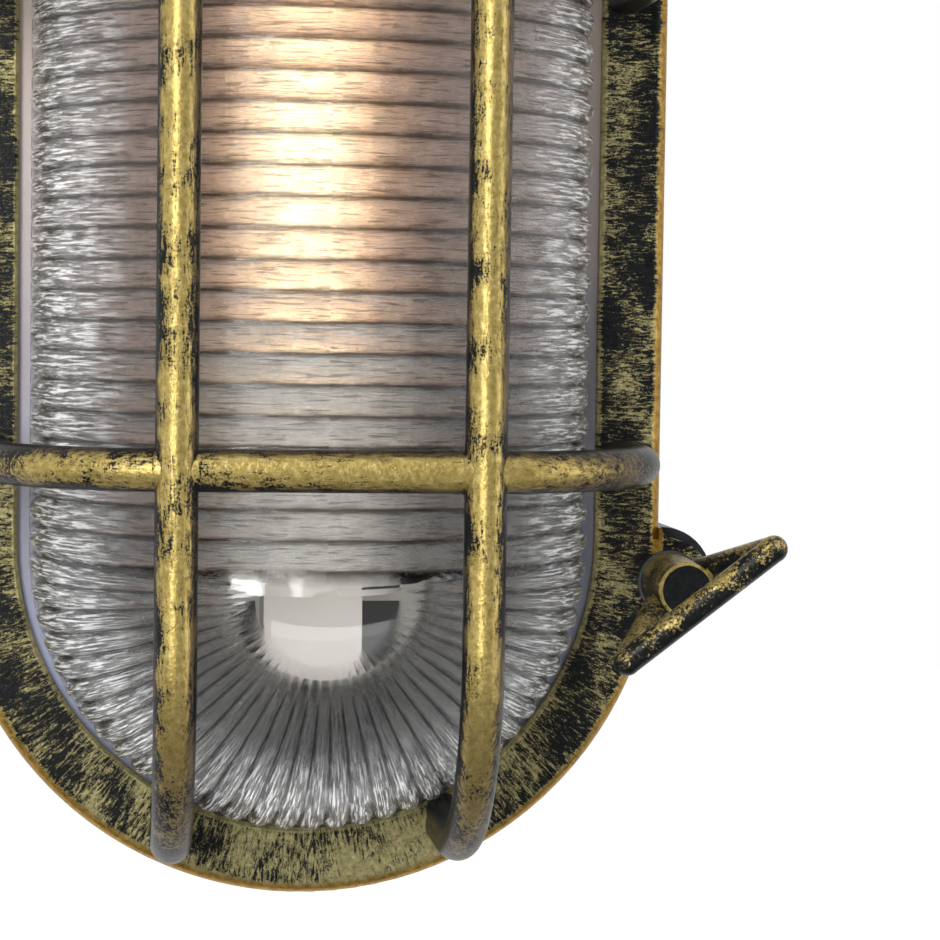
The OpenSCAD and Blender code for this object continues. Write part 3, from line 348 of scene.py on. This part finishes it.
def black_outside_primer_inside():
    """Housing: satin black paint outside; the inside has a thin pale primer, a warm grey that takes the
    lamp's light. The lower end and a patch right of the holder are painted near-black as painted shade."""
    mat, tree, shader = finish_of("SatinBlackHousingBareInside")
    coord, x, y, z = place_on(tree)
    r, _ = place_round_oblong(tree, z, x)
    inside = add(tree, MATH, {0: r, 1: HOUSING_INNER_R + MARGIN}, operation="LESS_THAN")
    above = add(tree, MATH, {0: y, 1: HOUSING_FLOOR_Y + MARGIN}, operation="LESS_THAN")
    primed = add(tree, MATH, {0: inside, 1: above}, operation="MULTIPLY")
    cloud = add(tree, NOISE, {"Vector": coord, "Scale": 120.0, "Detail": 4.0})
    paint = add(tree, RAMP, {0: cloud}, [(0.3, "#1c1e20"), (0.7, "#2a2c2f")])
    primer = add(tree, RAMP, {0: cloud}, [(0.3, "#c4ae9e"), (0.7, "#dac6b6")])
    # painted shade: the inside's lower end and a patch right of the holder are painted near-black
    low = add(tree, MAP_RANGE, {"Value": z, **span(SHADED_END_Z)})
    right = add(tree, MAP_RANGE, {"Value": x, **span(SHADED_SIDE_X)})
    beside = add(tree, MAP_RANGE, {"Value": z, **span(SHADED_SIDE_Z)})
    beside = add(tree, MATH, {0: beside, 1: right}, operation="MULTIPLY")
    painted_shade = add(tree, MATH, {0: low, 1: beside}, operation="MAXIMUM")
    primer = add(tree, MIX, {MIX_BY: painted_shade, COLOUR_FROM: primer, COLOUR_TO: lin("#141a1a")},
                 data_type="RGBA")
    colour = add(tree, MIX, {MIX_BY: primed, COLOUR_FROM: paint, COLOUR_TO: primer}, data_type="RGBA")
    feed(tree, shader, {"Base Color": colour, "Roughness": summed(tree, 0.4, (primed, 0.22))})
    grained(tree, shader, coord, 1000.0, 3.0, 0.00012)
    return mat


def grey_silicone():
    """Glass gasket: moulded silicone rubber, matt blue-grey, with painted warm lamplight that turns it pinker
    towards the lamp's upper end.
    """
    mat, tree, shader = finish_of("GreySilicone", None, 0.55)
    coord, _, _, z = place_on(tree)
    # painted light: the change from blue-grey low down to pink at the upper end is painted warm lamplight
    up = add(tree, MAP_RANGE, {"Value": z, **span(GASKET_LAMPLIGHT_Z)})
    colour = add(tree, RAMP, {0: up}, [(0.0, "#7d8298"), (0.5, "#9a959c"), (1.0, "#b4a59c")])
    feed(tree, shader, {"Base Color": colour})
    grained(tree, shader, coord, 900.0, 2.0, 0.00004)
    return mat


def pressed_glass():
    """Glass dome: pressed soda-lime glass. Flow lines run along the ribs, about 0.5 mm apart, and break the
    light into streaks. Along some the skin is painted pale, a painted reflection of the white surroundings,
    most of all on the steep sides and tips; along others and in the valleys between the ribs it is painted
    dark, painted shade for the dark lines that refraction at the ribs makes. The foot in the gasket is ground
    matt."""
    mat, tree, shader = finish_of("PressedClearGlass", IOR=1.5)
    uv = add(tree, "ShaderNodeUVMap", uv_map="along_ribs").outputs[0]
    lie = add(tree, "ShaderNodeMapping", {"Vector": uv, "Scale": (11.0, 1.2, 1.0)})
    flow = add(tree, NOISE, {"Vector": lie, "Scale": 1.0, "Detail": 4.0, "Roughness": 0.6})
    fine = add(tree, NOISE, {"Vector": lie, "Scale": 3.1, "Detail": 2.0})
    flow = summed(tree, flow, (fine, 0.25))
    ribbed = add(tree, "ShaderNodeAttribute", attribute_name="ribbed").outputs["Fac"]
    wave = add(tree, MATH, {0: flow, 1: ribbed}, operation="MULTIPLY")
    feed(tree, shader, {"Normal": add(tree, BUMP, {"Height": wave, "Distance": 0.0005})})
    _, x, y, z = place_on(tree)
    r, _ = place_round_oblong(tree, z, x)
    # painted reflection: pale streaks that stand in for the white surroundings seen in the glass, more
    # towards the sides
    reflection_reach = add(tree, MAP_RANGE, {"Value": r, **span(REFLECTION_STREAKS_R), "To Min": 0.04})
    pale = add(tree, RAMP, {0: flow}, [(0.61, 0.0), (0.72, 1.0)])
    pale = add(tree, MATH, {0: pale, 1: reflection_reach}, operation="MULTIPLY")
    pale = add(tree, MATH, {0: pale, 1: ribbed}, operation="MULTIPLY")
    # painted shade: dark streaks, and dark valleys where the map's rib count is whole, stand in for the dark
    # lines that refraction at the ribs makes
    dark_streak = add(tree, RAMP, {0: flow}, [(0.5, 0.8), (0.6, 0.0)])
    count = add(tree, SPLIT_XYZ, {0: uv}).outputs[0]
    dark_valley = add(tree, MATH, {0: count, 1: 0.5}, operation="PINGPONG")
    dark_valley = add(tree, RAMP, {0: summed(tree, dark_valley, (flow, 0.35))}, [(0.26, 1.0), (0.38, 0.0)])
    painted_dark_lines = add(tree, MATH, {0: dark_valley, 1: dark_streak}, operation="MAXIMUM")
    painted_dark_lines = add(tree, MATH, {0: painted_dark_lines, 1: ribbed}, operation="MULTIPLY")
    painted_dark_lines = add(tree, MATH, {0: painted_dark_lines, 1: 0.85}, operation="MULTIPLY")
    # the painted shade's dark brown, where the glass lets no light through
    tone = add(tree, MIX, {MIX_BY: painted_dark_lines, COLOUR_FROM: lin("#ffffff"), COLOUR_TO: lin("#26211c")},
               data_type="RGBA")
    foot = add(tree, MAP_RANGE, {"Value": y, **span(GROUND_FOOT_Y)})
    veiled = add(tree, MATH, {0: foot, 1: 0.7}, operation="MULTIPLY")
    veiled = add(tree, MATH, {0: veiled, 1: pale}, operation="MAXIMUM")
    clear = add(tree, MATH, {0: 1.0, 1: veiled}, operation="SUBTRACT")
    feed(tree, shader, {"Base Color": tone, "Roughness": summed(tree, 0.012, (foot, 0.4)),
                        "Transmission Weight": clear})
    return mat


def lit_tube():
    """Lit lamp: an amber-tinted tube with two glowing sticks side by side behind its front, 34 mm long,
    whose light fades to amber and brown round them."""
    mat, tree, shader = finish_of("LitFilamentTube", "#c8a890", 0.2, Emission_Strength=2.2)
    _, x, y, z = place_on(tree)
    beside = add(tree, MATH, {0: x, 1: STICKS_X}, operation="SUBTRACT")
    beside = add(tree, MATH, {0: beside}, operation="ABSOLUTE")
    gap = add(tree, MATH, {0: beside, 1: STICK_GAP / 2}, operation="SUBTRACT")
    gap = add(tree, MATH, {0: gap}, operation="ABSOLUTE")
    along = add(tree, MATH, {0: z, 1: STICKS_Z}, operation="SUBTRACT")
    along = add(tree, MATH, {0: along}, operation="ABSOLUTE")
    past = add(tree, MATH, {0: along, 1: STICK_LEN / 2}, operation="SUBTRACT")
    past = add(tree, MATH, {0: past, 1: 0.0}, operation="MAXIMUM")
    # beyond their ends the glow reaches further than beside them
    past = add(tree, MATH, {0: past, 1: 0.45}, operation="MULTIPLY")
    behind = add(tree, MATH, {0: y, 1: LAMP_Y}, operation="SUBTRACT")
    behind = add(tree, MATH, {0: behind, 1: 0.0}, operation="MAXIMUM")
    way = add(tree, JOIN_XYZ, {0: gap, 1: past, 2: behind})
    away = add(tree, VECTOR_MATH, {0: way}, operation="LENGTH")
    away = add(tree, MATH, {0: away, 1: GLOW_REACH}, operation="DIVIDE")
    glow = add(tree, RAMP, {0: away}, [(0.0, "#fff8e4"), (0.2, "#ffe9b4"), (0.32, "#d8a058"),
                                       (0.5, "#9c7250"), (0.9, "#8e6c54")])
    feed(tree, shader, {"Emission Color": glow})
    return mat


ring = brushed_ring()
bright_zinc = one_tone("BrightZincPlate", "#b9bcc0", 0.32, 1.0, 0.00002, 0.6)
dull_zinc = one_tone("WeatheredZincPlate", "#4c4e50", 0.55, 0.6, 0.00004, 0.7)
plain_brass = one_tone("PlainBrass", "#c8a45a", 0.3, 1.0, 0.00002, 0.6)
black_rubber = one_tone("BlackRubber", "#2b2c2e", 0.7, 0.0, 0.00008, 0.6)
clear_glass = pressed_glass()
finishes = {
    "housing": black_outside_primer_inside(),
    "front_frame": brushed_casting(),
    "ring_screw_lower": ring,
    "ring_screw_upper": ring,
    "glass": clear_glass,
    "glass_gasket": grey_silicone(),
    # foamed rubber cord: matt, with fine open cells
    "frame_seal": one_tone("BlackCellRubber", "#3c3e40", 0.8, 0.0, 0.00012, 0.7),
    "glass_clips": bright_zinc,
    "clip_screws": bright_zinc,
    # zinc gone dull and dark out of doors
    "screw_washer_lower": dull_zinc,
    "screw_washer_upper": dull_zinc,
    "neck_screws": bright_zinc,
    "bracket_screws": bright_zinc,
    "block_screws": bright_zinc,
    "earth_tag": bright_zinc,
    "hinge_pins": plain_brass,
    "holder_shell": plain_brass,
    "centre_contact": plain_brass,
    "clamp_screws": plain_brass,
    "earth_screw": plain_brass,
    # glazed porcelain: white, smooth and glossy under its glaze
    "lamp_holder": one_tone("WhitePorcelain", "#f4eee4", 0.2, 0.0, 0.00002, 2.0, 0.03, Coat_Weight=0.5),
    # stoved paint on sheet steel
    "holder_bracket": one_tone("WhiteStovedSteel", "#d9d6cd", 0.4, 0.0, 0.00003, 0.8, 0.04),
    "bulb": lit_tube(),
    # nickel-plated brass
    "bulb_cap": one_tone("NickelledLampCap", "#cfc9b4", 0.28, 1.0, 0.00002, 0.5),
    # moulded polyamide, slightly matt
    "terminal_block": one_tone("WhitePolyamide", "#e6e4dc", 0.5, 0.0, 0.00004, 0.5, 0.04),
    # silicone-sleeved leads
    "brown_lead": one_tone("BrownLeadSleeve", "#5f3c24", 0.45, 0.0, 0.00002, 0.6),
    "blue_lead": one_tone("BlueLeadSleeve", "#2c4f86", 0.45, 0.0, 0.00002, 0.6),
    "earth_lead": one_tone("GreenYellowLeadSleeve", "#8aa832", 0.45, 0.0, 0.00002, 0.6),
    "cable_grommet": black_rubber,
    "wall_screw_seals": black_rubber,
}
for name, finish in finishes.items():
    materials = nodes[name].data.materials
    materials.clear()
    materials.append(finish)


# The ribbed glass

def zone_and_way(t):
    """Which of the outline's four zones t is in, and the way through it from 0 to 1. t runs 0..1 up the
    right side, 1..2 round the upper end, 2..3 down the left side and 3..4 round the lower end."""
    return np.floor(t).astype(int) % 4, t - np.floor(t)


def outline(t, r, half):
    """Points of an oblong of end radius r round spine ends at +-half: on the sides x is r and the height
    goes evenly from end to end, and round an end the angle goes evenly from 0 to pi."""
    zone, w = zone_and_way(t)
    a = math.pi * w
    x = np.choose(zone, [r + 0 * w, r * np.cos(a), -r + 0 * w, -r * np.cos(a)])
    z = np.choose(zone, [half * (2 * w - 1), half + r * np.sin(a), half * (1 - 2 * w), -half - r * np.sin(a)])
    return x, z


def spine_end(t):
    """Height on the spine where the rib at t ends: straight across from the sides, and FAN_SHIFT beyond
    the middle of an end for all the ribs round it."""
    zone, w = zone_and_way(t)
    fan = GLASS_HALF + FAN_SHIFT
    return np.choose(zone, [GLASS_HALF * (2 * w - 1), fan + 0 * w, GLASS_HALF * (1 - 2 * w), -fan + 0 * w])


def ribbed_glass(steps=12, outer_rings=34):
    """Skin of the pressed glass, one grid outside and one inside. Round the outline t takes steps to a rib.
    Along the section a ring lies at the reach (1 - u^DOME_LIFT)^(1/DOME_FULL) of the way from the spine to
    the outline and at the height DOME_RISE * u. Between two ribs the skin sinks along its normal by
    RIB_DEPTH times (1 - sqrt(1 - v^2)) / (1 - sqrt(1 - ROUND_TO^2)), with v going from -ROUND_TO to
    ROUND_TO over a rib: a round rib with sharp valleys. Round the ends the sinking fades out where the
    reach falls from SPOT_SHARE + SPOT_FADE to SPOT_SHARE."""
    side = np.arange(SIDE_RIBS * steps) / (SIDE_RIBS * steps)
    end = np.arange(END_RIBS * steps) / (END_RIBS * steps)
    t = np.concatenate([side, 1 + end, 2 + side, 3 + end])
    zone, w = zone_and_way(t)
    straight = zone % 2 == 0
    rib_place = w * np.where(straight, SIDE_RIBS, END_RIBS)
    v = ROUND_TO * (2 * (rib_place % 1) - 1)
    sink = (1 - np.sqrt(1 - v * v)) / (1 - math.sqrt(1 - ROUND_TO ** 2))
    spine_z = spine_end(t)
    faded = []

    def flat_ring(r, y, half):
        faded.append(np.zeros(len(t)))
        x, z = outline(t, r, half)
        return np.stack([x, np.full_like(x, y), z], 1)

    def dome_ring(u, inset, depth):
        share = max(0.0, 1 - u ** DOME_LIFT) ** (1 / DOME_FULL)
        normal = np.array([DOME_FULL * share ** (DOME_FULL - 1) / GLASS_R,
                           DOME_LIFT * u ** (DOME_LIFT - 1) / DOME_RISE])
        normal /= np.linalg.norm(normal)
        x, z = outline(t, GLASS_R - inset, GLASS_HALF)
        reach = np.hypot(x, z - spine_z)
        fade = np.where(straight, 1.0, np.clip((share - SPOT_SHARE) / SPOT_FADE, 0, 1))
        faded.append(fade)
        down = depth * sink * fade
        k = share - down * normal[0] / reach
        y = FLANGE_Y - (DOME_RISE - inset) * u + down * normal[1]
        return np.stack([x * k, y, spine_z + (z - spine_z) * k], 1)

    shares = np.cos(np.linspace(0, 1, outer_rings) ** 0.9 * math.pi / 2)
    heights = (1 - shares ** DOME_FULL) ** (1 / DOME_LIFT)
    outer = [flat_ring(RIM_R, RIM_BACK_Y, STRAIGHT_HALF),
             flat_ring(RIM_R, RIM_FRONT_Y + RIM_EDGE, STRAIGHT_HALF),
             flat_ring(RIM_R - RIM_EDGE, RIM_FRONT_Y, STRAIGHT_HALF),
             flat_ring(GLASS_R - RIM_EDGE, RIM_FRONT_Y, GLASS_HALF),
             flat_ring(GLASS_R - RIM_EDGE, FLANGE_Y + DOME_FOOT, GLASS_HALF)]
    outer += [dome_ring(u, 0.0, RIB_DEPTH) for u in heights]
    inner = [dome_ring(u, GLASS_WALL, 0.0) for u in heights[::-2]]
    inner += [flat_ring(GLASS_R - GLASS_WALL, RIM_BACK_Y, GLASS_HALF)]
    rings = np.stack(outer + inner)
    n_rings, n_round = rings.shape[:2]
    crown = len(outer) - 1
    row, col = np.meshgrid([i for i in range(n_rings) if i != crown], np.arange(n_round), indexing="ij")
    after, beside = (row + 1) % n_rings, (col + 1) % n_round
    quads = np.stack([row * n_round + col, row * n_round + beside, after * n_round + beside,
                      after * n_round + col], -1).reshape(-1, 4)
    mesh = bpy.data.meshes.new("RibbedGlass")
    mesh.from_pydata(rings.reshape(-1, 3), [], quads)
    # map along the ribs: one unit to a rib across them, and one unit to MAP_STEP along them
    ring_gaps = np.linalg.norm(np.diff(rings[:, 0], axis=0, prepend=rings[:1, 0]), axis=1)
    along = np.cumsum(ring_gaps) / MAP_STEP
    rib_run = np.arange(n_round) / steps
    corner_row = np.stack([row, row, row + 1, row + 1], -1).reshape(-1)
    corner_col = np.stack([col, col + 1, col + 1, col], -1).reshape(-1)
    along = np.append(along, along[-1] + 1)
    rib_run = np.append(rib_run, rib_run[-1] + 1 / steps)
    uv = np.stack([rib_run[corner_col], along[corner_row]], 1)
    mesh.uv_layers.new(name="along_ribs").data.foreach_set("uv", uv.ravel())
    # 1 where the skin is ribbed and 0 on the smooth spots and on the flat rim
    ribbed = mesh.attributes.new("ribbed", "FLOAT", "POINT")
    ribbed.data.foreach_set("value", np.concatenate(faded).astype(np.float32))
    return mesh


def tidy_skin(mesh):
    """Merges the points that meet on the spine, drops faces of no area and turns all faces outwards."""
    skin = bmesh.new()
    skin.from_mesh(mesh)
    bmesh.ops.remove_doubles(skin, verts=skin.verts, dist=2e-6)
    bmesh.ops.dissolve_degenerate(skin, edges=skin.edges, dist=1e-7)
    bmesh.ops.recalc_face_normals(skin, faces=skin.faces)
    skin.to_mesh(mesh)
    skin.free()
    mesh.shade_smooth()


def in_scene(name, data):
    """A new object of the scene with the given mesh, light or camera."""
    thing = bpy.data.objects.new(name, data)
    scene.collection.objects.link(thing)
    return thing


def put(mesh, finish, body, replaced):
    """Places a finished piece in the scene: its body and the node it stands for."""
    tidy_skin(mesh)
    mesh.materials.append(finish)
    piece = in_scene(mesh.name, mesh)
    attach(piece, body)
    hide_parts(replaced)


put(ribbed_glass(), clear_glass, "front_frame", "glass")


# Floor, surroundings, lights and camera

def seen_itself(tree):
    """1 for a ray of the camera, of a reflection or through glass, and 0 for light that falls on a piece."""
    ray = add(tree, "ShaderNodeLightPath").outputs
    seen = add(tree, MATH, {0: ray["Is Camera Ray"], 1: ray["Is Glossy Ray"]}, operation="MAXIMUM")
    return add(tree, MATH, {0: seen, 1: ray["Is Transmission Ray"]}, operation="MAXIMUM")


def sheet(name, near, far, half, finish):
    """A flat sheet from near to far, each a place (Y, Z), and half wide to each side of the middle."""
    mesh = bpy.data.meshes.new(name)
    mesh.from_pydata([(x, y, z) for y, z in (near, far) for x in (-half, half)], [], [(0, 1, 3, 2)])
    mesh.materials.append(finish)
    return in_scene(name, mesh)


def pale_floor(z, half):
    """A square floor of half width half at height z, matt and nearly white."""
    mat, tree, shader = finish_of("PaleFloorPaint", "#f2f2f0", 0.9)
    glow = add(tree, MATH, {0: seen_itself(tree), 1: 0.8}, operation="MULTIPLY")
    feed(tree, shader, {"Emission Color": (1, 1, 1, 1), "Emission Strength": glow})
    floor = sheet("PaleFloor", (-half, z), (half, z), half, mat)


def white_surroundings(level):
    """A world that lights the light at the given level, and that the camera, metal and glass see as white."""
    world = bpy.data.worlds.new("WhiteRoom")
    scene.world = world
    world.use_nodes = True
    tree = world.node_tree
    strength = add(tree, MIX, {MIX_BY: seen_itself(tree), NUMBER_FROM: level, NUMBER_TO: 1.0},
                   data_type="FLOAT")
    feed(tree, tree.nodes["Background"], {"Color": (1, 1, 1, 1), "Strength": strength})


def dark_cloth(name, near, far, seen_through_glass):
    """A dark cloth from near to far that only reflections see, and if told so glass too, so that metal
    and glass show dark tones between the white of the room."""
    cloth = sheet(name, near, far, CLOTH_HALF, finish_of(name, "#1c1c1c", 0.9)[0])
    cloth.visible_camera = cloth.visible_diffuse = cloth.visible_shadow = False
    cloth.visible_transmission = seen_through_glass


def softbox(name, place, target, size, watts):
    """A rectangular area light at place that faces target; size is its width and height."""
    data = bpy.data.lights.new(name, "AREA")
    data.shape = "RECTANGLE"
    data.size, data.size_y = size
    data.energy = watts
    box = in_scene(name, data)
    box.location = place
    box.rotation_mode = "QUATERNION"
    box.rotation_quaternion = (Vector(target) - Vector(place)).to_track_quat("-Z", "Y")
    return box


pale_floor(FLOOR_Z, FLOOR_HALF)
white_surroundings(0.25)
dark_cloth("ClothBehindCamera", (-2.0, CLOTH_Z), (-2.0, 2.0), False)
dark_cloth("ClothBelow", (0.1, CLOTH_Z), (-2.0, CLOTH_Z), True)
MIDDLE = (0, -0.06, 0)
softbox("KeyStrip", (-0.42, -1.15, 0.35), MIDDLE, (0.32, 1.3), 17)
softbox("RightStrip", (1.05, -0.65, 0.1), MIDDLE, (0.4, 1.3), 4)
# a fill from below that is too dim and wide to be seen as a highlight
softbox("LowFill", (0.15, -1.25, -0.75), MIDDLE, (1.0, 0.6), 8).visible_glossy = False

# Camera of the photograph: place, turn as a rotation vector in degrees, and lens
CAMERA_AT = Vector((-0.0394, -0.6121, -0.0228))
CAMERA_TURN = Vector([math.radians(v) for v in (3.12, 0.61, 7.49)])
SENSOR_MM, LENS_MM = 36, 99.6
camera_data = bpy.data.cameras.new("PhotoView")
camera = in_scene("PhotoView", camera_data)
scene.camera = camera
camera_data.sensor_width = SENSOR_MM
camera_data.lens = LENS_MM
camera_data.dof.use_dof = False
camera_data.clip_start, camera_data.clip_end = 0.01, 20
view = Matrix.Rotation(CAMERA_TURN.length, 3, CAMERA_TURN.normalized())
right, forward, up = view
camera.matrix_world = Matrix.Translation(CAMERA_AT) @ Matrix((right, up, -forward)).transposed().to_4x4()

scene.view_settings.view_transform = "Standard"
